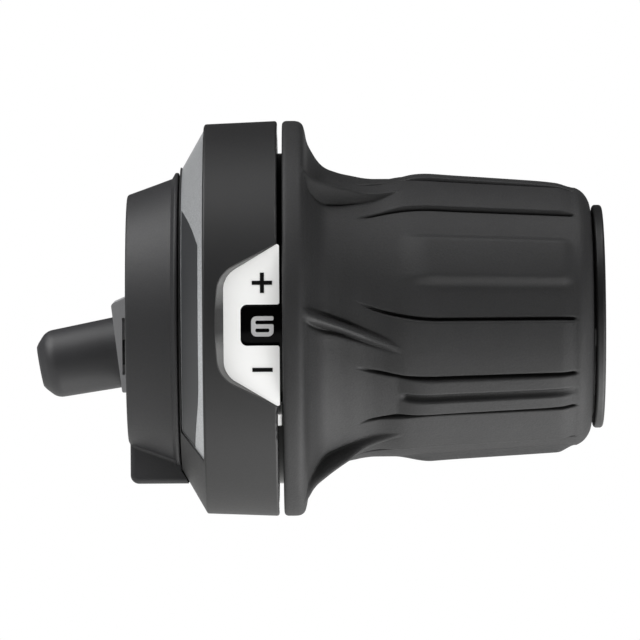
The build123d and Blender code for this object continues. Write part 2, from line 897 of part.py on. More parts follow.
def end_cap():
    hub_x_start = cap_x - cap_hub_length
    body = turned(
        (hub_x_start, tube_r + seat_fit),
        (hub_x_start, cap_hub_r),
        (cap_x, cap_hub_r),
        (cap_x, cap_r, cap_round),
        (cap_x + cap_thickness, cap_r, cap_round),
        (cap_x + cap_thickness, tube_bore_r),
        (cap_x, tube_bore_r),
        (cap_x, tube_r + seat_fit),
    )
    foot_r = (cap_r - 2 * cap_round, cap_r - cap_round)
    for number in range(lobes):
        centre = number * lobe_pitch - cap_foot_span
        body += sector(
            centre - cap_foot_span / 2,
            centre + cap_foot_span / 2,
            (cap_x - cap_foot_height, foot_r[0]),
            (cap_x - cap_foot_height, foot_r[1]),
            (cap_x, foot_r[1]),
            (cap_x, foot_r[0]),
        )
    return body - clip_room()


def retaining_clip():
    start = cap_x - clip_inset - clip_width
    inner = tube_r - clip_depth + seat_fit
    outer = tube_r + clip_depth
    corners = ((start, inner), (start, outer), (start + clip_width, outer), (start + clip_width, inner))
    return sector(clip_opening / 2, 360 - clip_opening / 2, *corners)


nodes = {
    "bracket": bracket(),
    "clamp_bolt": clamp_bolt(),
    "clamp_insert": clamp_insert(),
    "housing_shell": housing_shell(),
    "shoulder_trim": trim_shape(trim_sink, 0),
    "indicator_plate": indicator_plate(),
    "plus_mark": plus_mark(),
    "minus_mark": minus_mark(),
    "cable_outlet": cable_outlet(),
    "outlet_foot": outlet_foot(),
    "cable_guide": cable_guide(),
    "detent_spring": detent_spring(),
    "thrust_washer": thrust_washer(),
    "winding_spool": winding_spool(),
    "index_ring": index_ring(),
    "number_ring": number_ring(),
    "grip_sleeve": grip_sleeve(),
    "grip_cover": grip_cover(),
    "end_cap": end_cap(),
    "retaining_clip": retaining_clip(),
}
for number, angle in enumerate(screw_angles, 1):
    nodes[f"shell_screw_{number}"] = shell_screw(angle)
for number, side in enumerate((-1, 1), 1):
    nodes[f"spring_pin_{number}"] = spring_pin(side)
for gear in range(1, gear_count + 1):
    nodes[f"gear_numeral_{gear}"] = gear_numeral(gear)

os.makedirs("parts", exist_ok=True)
for name, shape in nodes.items():
    export_step(shape, f"parts/{name}.step")
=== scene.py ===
import math

import bpy
import numpy as np
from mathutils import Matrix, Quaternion, Vector


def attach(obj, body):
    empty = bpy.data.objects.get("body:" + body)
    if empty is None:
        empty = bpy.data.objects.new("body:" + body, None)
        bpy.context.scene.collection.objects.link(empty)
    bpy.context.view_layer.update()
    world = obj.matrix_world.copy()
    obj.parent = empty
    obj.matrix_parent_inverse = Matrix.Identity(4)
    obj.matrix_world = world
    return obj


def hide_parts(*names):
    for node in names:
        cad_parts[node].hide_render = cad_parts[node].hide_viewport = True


# Twist grip shifter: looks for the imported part, in metres, +X along the bar, window towards -Y.
# Lengths in the settings below are millimetres, angles are degrees from the front towards the top.

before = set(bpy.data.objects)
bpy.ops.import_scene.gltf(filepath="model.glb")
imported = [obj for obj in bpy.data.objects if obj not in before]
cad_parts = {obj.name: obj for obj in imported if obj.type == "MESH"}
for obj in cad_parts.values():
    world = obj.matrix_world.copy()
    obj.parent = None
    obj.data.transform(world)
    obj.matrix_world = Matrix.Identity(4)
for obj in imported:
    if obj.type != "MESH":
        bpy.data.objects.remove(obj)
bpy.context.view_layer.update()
print("frame loaded:", len(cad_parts), "nodes")

sharpFrom = 70  # degrees between two faces from which their edge is drawn sharp
noiseSpan = (0.3, 0.7)  # where nearly all values of a noise lie
plainGloss = 0.5  # the shader's own reflection level


def mm(value):
    return value * 0.001


def metres(point):  # a point in millimetres as a vector in metres
    return Vector(point) * 0.001


def paint(code):  # sRGB hex to the linear values that the sockets take
    parts = [int(code[i:i + 2], 16) / 255 for i in (1, 3, 5)]
    return [c / 12.92 if c <= 0.04045 else ((c + 0.055) / 1.055) ** 2.4 for c in parts] + [1]


# joins a socket or sets a value for each input in links, by name or number
# (a Mix takes its factor at 0, two numbers at 2 and 3, two colours at 6 and 7)
def addNode(tree, kind, links=None, **settings):
    node = tree.nodes.new(kind)
    for name, value in settings.items():
        setattr(node, name, value)
    for socket, value in (links or {}).items():
        if isinstance(value, bpy.types.NodeSocket):
            tree.links.new(value, node.inputs[socket])
        else:
            node.inputs[socket].default_value = value
    return node


def newMaterial(name):
    material = bpy.data.materials.new(name)
    material.use_nodes = True
    material.node_tree.nodes.clear()
    return material, material.node_tree


def newPiece(name, points, faces, material, body):
    mesh = bpy.data.meshes.new(name)
    mesh.from_pydata([metres(point) for point in points], [], faces)
    mesh.polygons.foreach_set("use_smooth", [True] * len(mesh.polygons))
    mesh.set_sharp_from_angle(angle=math.radians(sharpFrom))
    mesh.materials.append(material)
    piece = bpy.data.objects.new(name, mesh)
    bpy.context.scene.collection.objects.link(piece)
    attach(piece, body)
    return piece


def ease(low, high, value):
    t = np.clip((value - low) / (high - low), 0, 1)
    return t * t * (3 - 2 * t)


def smoothCurve(points, x):  # runs through every point without overshoot
    px, py = np.array(points, float).T
    rise = np.diff(py) / np.diff(px)
    slope = np.concatenate([rise[:1], np.zeros(len(rise) - 1), rise[-1:]])
    same = rise[:-1] * rise[1:] > 0
    slope[1:-1][same] = 2 / (1 / rise[:-1][same] + 1 / rise[1:][same])
    i = np.clip(np.searchsorted(px, x) - 1, 0, len(px) - 2)
    run = px[i + 1] - px[i]
    t = np.clip((x - px[i]) / run, 0, 1)
    start = (2 * t ** 3 - 3 * t ** 2 + 1) * py[i] + (t ** 3 - 2 * t ** 2 + t) * run * slope[i]
    return start + (3 * t ** 2 - 2 * t ** 3) * py[i + 1] + (t ** 3 - t ** 2) * run * slope[i + 1]


def onBar(x, radius, angle):  # a point by its station, distance and angle round the bar
    a = math.radians(angle)
    return x, -radius * math.cos(a), radius * math.sin(a)


# camera, matched to the photo's frame of 640 by 640
view = {
    "aim": (26.66, 0, -0.26),
    "distance": 940,
    "elevation": 2.1,
    "roll": -0.4,
    "frameWidth": 89.03,  # what the frame takes in at the aim
    "sensor": 36,
    "clipEnd": 20000,
}
lens = bpy.data.cameras.new("photoCamera")
lens.sensor_width = view["sensor"]
lens.lens = view["sensor"] * view["distance"] / view["frameWidth"]
lens.clip_end = mm(view["clipEnd"])
camera = bpy.data.objects.new("photoCamera", lens)
bpy.context.scene.collection.objects.link(camera)
tilt = math.radians(view["elevation"])
back = Vector((0, -math.cos(tilt), math.sin(tilt)))
camera.location = metres(view["aim"]) + back * mm(view["distance"])
camera.rotation_mode = "QUATERNION"
level = (-back).to_track_quat("-Z", "Y")
camera.rotation_quaternion = level @ Quaternion((0, 0, 1), math.radians(view["roll"]))
bpy.context.scene.camera = camera
bpy.context.scene.view_settings.view_transform = "Standard"
print("camera set, lens", round(lens.lens))


# plain studio: pale paper floor below the part, soft lamps above and below it, white surround
studio = {
    "floorDrop": 400,
    "floorCentre": 30,
    "floorRadius": 3000,
    "floorSides": 96,
    "paper": "#E2E2E0",
    "paperShade": "#DADAD8",
    "paperFibre": 1.2,
    "fade": (900, 2400),  # distances from its middle between which the camera sees it turn plain white
    "mirrored": (-200, 600),  # along Y, where that white begins and is full for mirror rays
    "white": "#FFFFFF",
    "ambient": "#E2E2E2",
    "darkRoom": "#2A2A2A",
    "sweepBehind": (-0.1, 0.4),  # a direction's part along Y where the white sweep begins and is full
    "sweepBelow": (0.2, -0.1),  # the same along Z
    "lamps": [
        # name, place, aim, width, length, watts
        ("leftTopSoftbox", (-330, -50, 475), (20, 0, 0), 460, 460, 2.8),
        ("rightTopSoftbox", (260, -40, 515), (30, 0, 0), 300, 300, 0.9),
        ("leftSoftbox", (-640, -430, 300), (10, 0, 0), 420, 420, 0.6),
        ("rightSoftbox", (620, -430, -210), (30, 0, 0), 420, 260, 1.2),
        ("lowSoftbox", (170, -35, -225), (30, 0, 0), 300, 260, 0.72),
    ],
}


def studioFloor(look):  # rolled paper: flat, matt and pale, with faint fibre clouding
    material, tree = newMaterial("mattPaper_rolled")
    place = addNode(tree, "ShaderNodeTexCoord").outputs["Object"]
    fibre = addNode(
        tree, "ShaderNodeTexNoise",
        {"Vector": place, "Scale": 1 / mm(look["paperFibre"]), "Detail": 4},
    )
    tone = addNode(
        tree, "ShaderNodeMix",
        {0: fibre.outputs["Fac"], 6: paint(look["paperShade"]), 7: paint(look["paper"])},
        data_type="RGBA",
    )
    matt = addNode(tree, "ShaderNodeBsdfDiffuse", {"Color": tone.outputs[2]})
    glow = addNode(tree, "ShaderNodeEmission", {"Color": paint(look["white"]), "Strength": 1})
    # how far out on the floor, and how far behind the part
    away = addNode(tree, "ShaderNodeVectorMath", {0: place}, operation="LENGTH")
    near, far = (mm(value) for value in look["fade"])
    outside = addNode(
        tree, "ShaderNodeMapRange",
        {"Value": away.outputs["Value"], "From Min": near, "From Max": far},
        interpolation_type="SMOOTHSTEP",
    )
    way = addNode(tree, "ShaderNodeSeparateXYZ", {0: place})
    near, far = (mm(value) for value in look["mirrored"])
    behind = addNode(
        tree, "ShaderNodeMapRange",
        {"Value": way.outputs["Y"], "From Min": near, "From Max": far},
        interpolation_type="SMOOTHSTEP",
    )
    # which rays see the white
    ray = addNode(tree, "ShaderNodeLightPath")
    mirrored = addNode(
        tree, "ShaderNodeMath",
        {0: ray.outputs["Is Glossy Ray"], 1: behind.outputs["Result"]},
        operation="MULTIPLY",
    )
    seen = addNode(
        tree, "ShaderNodeMath",
        {0: ray.outputs["Is Camera Ray"], 1: mirrored.outputs[0]},
        operation="MAXIMUM",
    )
    seen = addNode(
        tree, "ShaderNodeMath",
        {0: seen.outputs[0], 1: ray.outputs["Is Transmission Ray"]},
        operation="MAXIMUM",
    )
    share = addNode(
        tree, "ShaderNodeMath",
        {0: seen.outputs[0], 1: outside.outputs["Result"]},
        operation="MULTIPLY",
    )
    mixed = addNode(
        tree, "ShaderNodeMixShader",
        {0: share.outputs[0], 1: matt.outputs[0], 2: glow.outputs[0]},
    )
    addNode(tree, "ShaderNodeOutputMaterial", {"Surface": mixed.outputs[0]})
    return material


def buildFloor(look):
    sides = look["floorSides"]
    radius = mm(look["floorRadius"])
    turns = [2 * math.pi * i / sides for i in range(sides)]
    rim = [(radius * math.cos(turn), radius * math.sin(turn), 0) for turn in turns]
    mesh = bpy.data.meshes.new("floor")
    mesh.from_pydata(rim, [], [range(sides)])
    mesh.materials.append(studioFloor(look))
    floor = bpy.data.objects.new("floor", mesh)
    floor.location = (mm(look["floorCentre"]), 0, -mm(look["floorDrop"]))
    bpy.context.scene.collection.objects.link(floor)


def buildLamps(look):
    for name, place, aim, width, length, watts in look["lamps"]:
        light = bpy.data.lights.new(name, "AREA")
        light.shape = "RECTANGLE"
        light.size = mm(width)
        light.size_y = mm(length)
        light.energy = watts
        lamp = bpy.data.objects.new(name, light)
        lamp.location = metres(place)
        lamp.rotation_mode = "QUATERNION"
        lamp.rotation_quaternion = (Vector(aim) - Vector(place)).to_track_quat("-Z", "Y")
        lamp.visible_camera = False
        bpy.context.scene.collection.objects.link(lamp)


# camera rays meet white all round
# mirror rays meet a white sweep low behind the part and a dark room elsewhere
def buildSurround(look):
    world = bpy.data.worlds.new("studio")
    world.use_nodes = True
    tree = world.node_tree
    tree.nodes.clear()
    place = addNode(tree, "ShaderNodeTexCoord").outputs["Generated"]
    way = addNode(tree, "ShaderNodeSeparateXYZ", {0: place})
    begins, full = look["sweepBehind"]
    behind = addNode(
        tree, "ShaderNodeMapRange",
        {"Value": way.outputs["Y"], "From Min": begins, "From Max": full},
        interpolation_type="SMOOTHSTEP",
    )
    begins, full = look["sweepBelow"]
    low = addNode(
        tree, "ShaderNodeMapRange",
        {"Value": way.outputs["Z"], "From Min": begins, "From Max": full},
        interpolation_type="SMOOTHSTEP",
    )
    sweep = addNode(
        tree, "ShaderNodeMath",
        {0: behind.outputs["Result"], 1: low.outputs["Result"]},
        operation="MULTIPLY",
    )
    tone = addNode(
        tree, "ShaderNodeMix",
        {0: sweep.outputs[0], 6: paint(look["darkRoom"]), 7: paint(look["white"])},
        data_type="RGBA",
    )
    room = addNode(tree, "ShaderNodeBackground", {"Color": paint(look["ambient"]), "Strength": 1})
    mirrored = addNode(tree, "ShaderNodeBackground", {"Color": tone.outputs[2], "Strength": 1})
    white = addNode(tree, "ShaderNodeBackground", {"Color": paint(look["white"]), "Strength": 1})
    ray = addNode(tree, "ShaderNodeLightPath")
    mixed = addNode(
        tree, "ShaderNodeMixShader",
        {0: ray.outputs["Is Glossy Ray"], 1: room.outputs[0], 2: mirrored.outputs[0]},
    )
    seen = addNode(
        tree, "ShaderNodeMath",
        {0: ray.outputs["Is Camera Ray"], 1: ray.outputs["Is Transmission Ray"]},
        operation="MAXIMUM",
    )
    mixed = addNode(
        tree, "ShaderNodeMixShader",
        {0: seen.outputs[0], 1: mixed.outputs[0], 2: white.outputs[0]},
    )
    addNode(tree, "ShaderNodeOutputWorld", {"Surface": mixed.outputs[0]})
    bpy.context.scene.world = world


buildFloor(studio)
buildLamps(studio)
buildSurround(studio)
print("studio built")


# moulded plastics: colour, a second tone for flow clouding, roughness span, tool grain and its depth,
# width of the flow clouds
plastics = {
    # glass filled nylon from a spark eroded tool: dark grey, dry sheen, fine sandy grain
    "glassFilledNylon_sparkEroded": {
        "tone": "#212123", "cloud": "#272729", "rough": (0.5, 0.58),
        "grain": 0.3, "depth": 0.012, "flow": 9, "ior": 1.53,
    },
    # the same nylon on the ring, from a finer tool: darker and a little smoother, with bright polished bends
    # on the wall where the window is sunk in, and grain again across that wall's middle
    "glassFilledNylon_fineEroded": {
        "tone": "#171718", "cloud": "#1C1C1D", "rough": (0.46, 0.54),
        "grain": 0.3, "depth": 0.009, "flow": 11, "ior": 1.53,
        "polishedBelow": (26.75, 27.0),  # distance from the bar's axis
        "polishedFrom": (11.0, 11.3),  # station along the bar
        "grainedAt": 0.65,  # height of the wall's middle
        "grainedWithin": (1.5, 4.0),  # distance up and down from it
        "polish": 0.1, "polishIor": 1.65,
    },
    # the same nylon on the outlet's tube, from a smoother tool, with a little more sheen; its colour is a
    # shade paler than the nylon's, which is painted light
    "glassFilledNylon_smoothTool_paintedLight": {
        # painted light: this tone is the nylon's, lightened a shade
        "tone": "#2C2C2E", "cloud": "#323234", "rough": (0.44, 0.52),
        "grain": 0.3, "depth": 0.008, "flow": 6, "ior": 1.53,
    },
    # plain grey nylon of the outlet's foot: pale beside the black, dull
    "nylon_greyPlain": {
        "tone": "#8A8A8C", "cloud": "#929294", "rough": (0.5, 0.6),
        "grain": 0.35, "depth": 0.006, "flow": 6, "ior": 1.53,
    },
    # white ABS from a polished tool: clean, smooth and softly glossy
    "abs_whitePolished": {
        "tone": "#FAFAF9", "cloud": "#F7F7F6", "rough": (0.3, 0.36),
        "grain": 0.5, "depth": 0.0006, "flow": 7, "ior": 1.52,
    },
    # black acetal from a smooth tool: deep black, smooth, with only a faint sheen
    "acetal_blackSmooth": {
        "tone": "#040404", "cloud": "#060606", "rough": (0.1, 0.15),
        "grain": 0.4, "depth": 0.002, "flow": 8, "ior": 1.48, "gloss": 0.15,
    },
    # satin black nylon of the end cap
    "nylon_blackSatin": {
        "tone": "#101011", "cloud": "#161617", "rough": (0.4, 0.5),
        "grain": 0.35, "depth": 0.006, "flow": 6, "ior": 1.53,
    },
    # natural acetal, unfilled: milky white and waxy
    "acetal_natural": {
        "tone": "#E4E1D8", "cloud": "#DAD6CB", "rough": (0.34, 0.44),
        "grain": 0.4, "depth": 0.004, "flow": 6, "ior": 1.48,
    },
}


def grainedShare(tree, place, look):  # 0 on the polished bends beside the window, 1 everywhere else
    aside = addNode(tree, "ShaderNodeVectorMath", {0: place, 1: (0, 1, 1)}, operation="MULTIPLY")
    away = addNode(tree, "ShaderNodeVectorMath", {0: aside.outputs[0]}, operation="LENGTH")
    along = addNode(tree, "ShaderNodeSeparateXYZ", {0: place})
    low, high = (mm(value) for value in look["polishedBelow"])
    outside = addNode(
        tree, "ShaderNodeMapRange",
        {"Value": away.outputs["Value"], "From Min": low, "From Max": high},
    )
    low, high = (mm(value) for value in look["polishedFrom"])
    before = addNode(
        tree, "ShaderNodeMapRange",
        {"Value": along.outputs["X"], "From Min": high, "From Max": low},
    )
    height = addNode(
        tree, "ShaderNodeMath",
        {0: along.outputs["Z"], 1: mm(look["grainedAt"])},
        operation="SUBTRACT",
    )
    height = addNode(tree, "ShaderNodeMath", {0: height.outputs[0]}, operation="ABSOLUTE")
    low, high = (mm(value) for value in look["grainedWithin"])
    middle = addNode(
        tree, "ShaderNodeMapRange",
        {"Value": height.outputs[0], "From Min": high, "From Max": low},
    )
    share = addNode(
        tree, "ShaderNodeMath",
        {0: outside.outputs[0], 1: before.outputs[0]},
        operation="MAXIMUM",
    )
    share = addNode(
        tree, "ShaderNodeMath",
        {0: share.outputs[0], 1: middle.outputs[0]},
        operation="MAXIMUM",
    )
    return share.outputs[0]


def mouldedPlastic(name, look):  # grain is drawn about three times its real size, or it would not show
    material, tree = newMaterial(name)
    place = addNode(tree, "ShaderNodeTexCoord").outputs["Object"]
    flow = addNode(
        tree, "ShaderNodeTexNoise",
        {"Vector": place, "Scale": 1 / mm(look["flow"]), "Detail": 3, "Roughness": 0.55},
    )
    tone = addNode(
        tree, "ShaderNodeMix",
        {0: flow.outputs["Fac"], 6: paint(look["tone"]), 7: paint(look["cloud"])},
        data_type="RGBA",
    )
    grain = addNode(
        tree, "ShaderNodeTexNoise",
        {"Vector": place, "Scale": 1 / mm(look["grain"]), "Detail": 2, "Roughness": 0.6},
    )
    rough = addNode(
        tree, "ShaderNodeMapRange",
        {
            "Value": grain.outputs["Fac"],
            "From Min": noiseSpan[0], "From Max": noiseSpan[1],
            "To Min": look["rough"][0], "To Max": look["rough"][1],
        },
    )
    strength = 1
    roughness = rough.outputs["Result"]
    sheen = {"IOR": look["ior"], "Specular IOR Level": look.get("gloss", plainGloss)}
    if "polish" in look:
        strength = grainedShare(tree, place, look)
        roughness = addNode(tree, "ShaderNodeMix", {0: strength, 2: look["polish"], 3: roughness}).outputs[0]
        polished = addNode(tree, "ShaderNodeMath", {0: 1, 1: strength}, operation="SUBTRACT")
        sheen["Coat Weight"] = polished.outputs[0]
        sheen["Coat Roughness"] = look["polish"]
        sheen["Coat IOR"] = look["polishIor"]
    bump = addNode(
        tree, "ShaderNodeBump",
        {"Height": grain.outputs["Fac"], "Strength": strength, "Distance": mm(look["depth"])},
    )
    shader = addNode(
        tree, "ShaderNodeBsdfPrincipled",
        {"Base Color": tone.outputs[2], "Roughness": roughness, "Normal": bump.outputs["Normal"], **sheen},
    )
    addNode(tree, "ShaderNodeOutputMaterial", {"Surface": shader.outputs[0]})
    return material


# thermoplastic rubber from a blasted tool: charcoal and matt, with painted shade in tight recesses, where its
# colour is darkened
rubber = {
    "tone": "#1D1D1E", "cloud": "#252526", "rough": (0.56, 0.68), "ior": 1.5,
    # painted shade: the near black colour given to tight recesses and corners
    "recess": "#050505",
    "recessReach": 4,
    "recessShare": (0.45, 0.85),  # of open sky round a point: painted shade in full below the first, none above the second
    "recessSamples": 8,
    "grain": 0.32,  # the blasting's pits, drawn about three times as wide as they are, or they would not show
    "sand": 0.224,  # finer roughness between the pits
    "depth": 0.02,
    "flow": 5,
}


def mouldedRubber(name, look):
    material, tree = newMaterial(name)
    place = addNode(tree, "ShaderNodeTexCoord").outputs["Object"]
    flow = addNode(
        tree, "ShaderNodeTexNoise",
        {"Vector": place, "Scale": 1 / mm(look["flow"]), "Detail": 4, "Roughness": 0.6},
    )
    tone = addNode(
        tree, "ShaderNodeMix",
        {0: flow.outputs["Fac"], 6: paint(look["tone"]), 7: paint(look["cloud"])},
        data_type="RGBA",
    )
    # painted shade: the colour turns near black where little open sky reaches, in recesses and corners
    sky = addNode(
        tree, "ShaderNodeAmbientOcclusion",
        {"Distance": mm(look["recessReach"])},
        samples=look["recessSamples"],
    )
    openness = addNode(
        tree, "ShaderNodeMapRange",
        {
            "Value": sky.outputs["AO"],
            "From Min": look["recessShare"][0], "From Max": look["recessShare"][1],
        },
        interpolation_type="SMOOTHSTEP",
    )
    tone = addNode(
        tree, "ShaderNodeMix",
        {0: openness.outputs["Result"], 6: paint(look["recess"]), 7: tone.outputs[2]},
        data_type="RGBA",
    )
    pits = addNode(
        tree, "ShaderNodeTexVoronoi",
        {"Vector": place, "Scale": 1 / mm(look["grain"])},
        feature="SMOOTH_F1",
    )
    sand = addNode(
        tree, "ShaderNodeTexNoise",
        {"Vector": place, "Scale": 1 / mm(look["sand"]), "Detail": 2},
    )
    skin = addNode(
        tree, "ShaderNodeMath",
        {0: pits.outputs["Distance"], 1: sand.outputs["Fac"]},
        operation="ADD",
    )
    rough = addNode(
        tree, "ShaderNodeMapRange",
        {
            "Value": sand.outputs["Fac"],
            "From Min": noiseSpan[0], "From Max": noiseSpan[1],
            "To Min": look["rough"][0], "To Max": look["rough"][1],
        },
    )
    bump = addNode(
        tree, "ShaderNodeBump",
        {"Height": skin.outputs[0], "Strength": 1, "Distance": mm(look["depth"])},
    )
    shader = addNode(
        tree, "ShaderNodeBsdfPrincipled",
        {
            "Base Color": tone.outputs[2],
            "Roughness": rough.outputs["Result"],
            "Normal": bump.outputs["Normal"],
            "IOR": look["ior"],
        },
    )
    addNode(tree, "ShaderNodeOutputMaterial", {"Surface": shader.outputs[0]})
    return material


# sprayed silver lacquer: fine aluminium flake in a satin clear, pale and slightly sparkling
lacquer = {
    "tone": "#ADAFB1", "flake": "#CACCCE", "flakeSize": 0.12, "rough": (0.3, 0.42), "metal": 0.55,
    "clear": 0.2, "clearRough": 0.2,
}


def silverLacquer(name, look):  # flake is drawn four times its real size, or it would not show
    material, tree = newMaterial(name)
    place = addNode(tree, "ShaderNodeTexCoord").outputs["Object"]
    flake = addNode(
        tree, "ShaderNodeTexVoronoi",
        {"Vector": place, "Scale": 1 / mm(look["flakeSize"])},
    )
    shade = addNode(tree, "ShaderNodeSeparateColor", {0: flake.outputs["Color"]}).outputs[0]
    tone = addNode(
        tree, "ShaderNodeMix",
        {0: shade, 6: paint(look["tone"]), 7: paint(look["flake"])},
        data_type="RGBA",
    )
    rough = addNode(
        tree, "ShaderNodeMapRange",
        {"Value": shade, "To Min": look["rough"][0], "To Max": look["rough"][1]},
    )
    shader = addNode(
        tree, "ShaderNodeBsdfPrincipled",
        {
            "Base Color": tone.outputs[2],
            "Roughness": rough.outputs["Result"],
            "Metallic": look["metal"],
            "Coat Weight": look["clear"],
            "Coat Roughness": look["clearRough"],
        },
    )
    addNode(tree, "ShaderNodeOutputMaterial", {"Surface": shader.outputs[0]})
    return material


# inks: printed films, even but not perfect, a little thinner in places
inks = {
    "ink_blackPadPrinted": {"tone": "#040404", "thin": "#0A0A0A", "rough": (0.75, 0.85), "gloss": 0.15},
    "ink_greyWhitePadPrinted": {"tone": "#EAEAEA", "thin": "#DEDEDE", "rough": (0.42, 0.52)},
    "ink_graphiteScreenPrinted": {"tone": "#2B2C2E", "thin": "#343537", "rough": (0.34, 0.44)},
}
inkFilm = {"patch": 0.6, "depth": 0.003}


def printedInk(name, look):
    material, tree = newMaterial(name)
    place = addNode(tree, "ShaderNodeTexCoord").outputs["Object"]
    film = addNode(
        tree, "ShaderNodeTexNoise",
        {"Vector": place, "Scale": 1 / mm(inkFilm["patch"]), "Detail": 3},
    )
    tone = addNode(
        tree, "ShaderNodeMix",
        {0: film.outputs["Fac"], 6: paint(look["tone"]), 7: paint(look["thin"])},
        data_type="RGBA",
    )
    rough = addNode(
        tree, "ShaderNodeMapRange",
        {"Value": film.outputs["Fac"], "To Min": look["rough"][0], "To Max": look["rough"][1]},
    )
    bump = addNode(
        tree, "ShaderNodeBump",
        {"Height": film.outputs["Fac"], "Strength": 1, "Distance": mm(inkFilm["depth"])},
    )
    shader = addNode(
        tree, "ShaderNodeBsdfPrincipled",
        {
            "Base Color": tone.outputs[2],
            "Roughness": rough.outputs["Result"],
            "Normal": bump.outputs["Normal"],
            "Specular IOR Level": look.get("gloss", plainGloss),
        },
    )
    addNode(tree, "ShaderNodeOutputMaterial", {"Surface": shader.outputs[0]})
    return material


# metals: zinc plate over drawn steel is bluish and cloudy, turned brass is warm with fine tool lines
metals = {
    "steel_zincPlated": {
        "tone": "#A9ABAE", "cloud": "#C2C4C6", "rough": (0.26, 0.4), "lines": 0.25, "depth": 0.004,
    },
    "brass_turned": {
        "tone": "#B6924C", "cloud": "#CBAA62", "rough": (0.24, 0.36), "lines": 0.2, "depth": 0.006,
    },
}
metalSkin = {
    "patch": 1.5,
    "waveScale": 0.16,  # lines come out 2.3 times as far apart as given, or they would not show
    "lineStrength": 0.5,
}


def workedMetal(name, look):
    material, tree = newMaterial(name)
    place = addNode(tree, "ShaderNodeTexCoord").outputs["Object"]
    cloud = addNode(
        tree, "ShaderNodeTexNoise",
        {"Vector": place, "Scale": 1 / mm(metalSkin["patch"]), "Detail": 4},
    )
    tone = addNode(
        tree, "ShaderNodeMix",
        {0: cloud.outputs["Fac"], 6: paint(look["tone"]), 7: paint(look["cloud"])},
        data_type="RGBA",
    )
    lineScale = metalSkin["waveScale"] / mm(look["lines"])
    lines = addNode(
        tree, "ShaderNodeTexWave",
        {"Vector": place, "Scale": lineScale, "Distortion": 2, "Detail": 2},
        bands_direction="DIAGONAL",
    )
    rough = addNode(
        tree, "ShaderNodeMapRange",
        {"Value": cloud.outputs["Fac"], "To Min": look["rough"][0], "To Max": look["rough"][1]},
    )
    bump = addNode(
        tree, "ShaderNodeBump",
        {
            "Height": lines.outputs["Fac"],
            "Strength": metalSkin["lineStrength"],
            "Distance": mm(look["depth"]),
        },
    )
    shader = addNode(
        tree, "ShaderNodeBsdfPrincipled",
        {
            "Base Color": tone.outputs[2],
            "Roughness": rough.outputs["Result"],
            "Normal": bump.outputs["Normal"],
            "Metallic": 1,
        },
    )
    addNode(tree, "ShaderNodeOutputMaterial", {"Surface": shader.outputs[0]})
    return material


finish = {name: mouldedPlastic(name, look) for name, look in plastics.items()}
finish |= {name: printedInk(name, look) for name, look in inks.items()}
finish |= {name: workedMetal(name, look) for name, look in metals.items()}
finish["rubber_blastedTool"] = mouldedRubber("rubber_blastedTool", rubber)
finish["lacquer_silverSprayed"] = silverLacquer("lacquer_silverSprayed", lacquer)

# which finish each node of the CAD wears
wears = {
    "glassFilledNylon_sparkEroded": ["bracket"],
    "glassFilledNylon_smoothTool_paintedLight": ["cable_outlet"],
    "glassFilledNylon_fineEroded": ["housing_shell"],
    "nylon_greyPlain": ["outlet_foot"],
    "abs_whitePolished": ["indicator_plate"],
    "acetal_blackSmooth": ["number_ring", "grip_sleeve"],
    "nylon_blackSatin": ["end_cap"],
    "acetal_natural": ["cable_guide", "thrust_washer", "winding_spool", "index_ring"],
    "lacquer_silverSprayed": ["shoulder_trim"],
    "ink_blackPadPrinted": ["plus_mark", "minus_mark"],
    "ink_greyWhitePadPrinted": [f"gear_numeral_{gear}" for gear in range(1, 7)],
    "steel_zincPlated": [
        "clamp_bolt", "shell_screw_1", "shell_screw_2", "shell_screw_3",
        "detent_spring", "spring_pin_1", "spring_pin_2", "retaining_clip",
    ],
    "brass_turned": ["clamp_insert"],
    "rubber_blastedTool": ["grip_cover"],
}
for name, nodes in wears.items():
    for node in nodes:
        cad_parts[node].material_slots[0].material = finish[name]
print("materials on", sum(len(nodes) for nodes in wears.values()), "nodes")


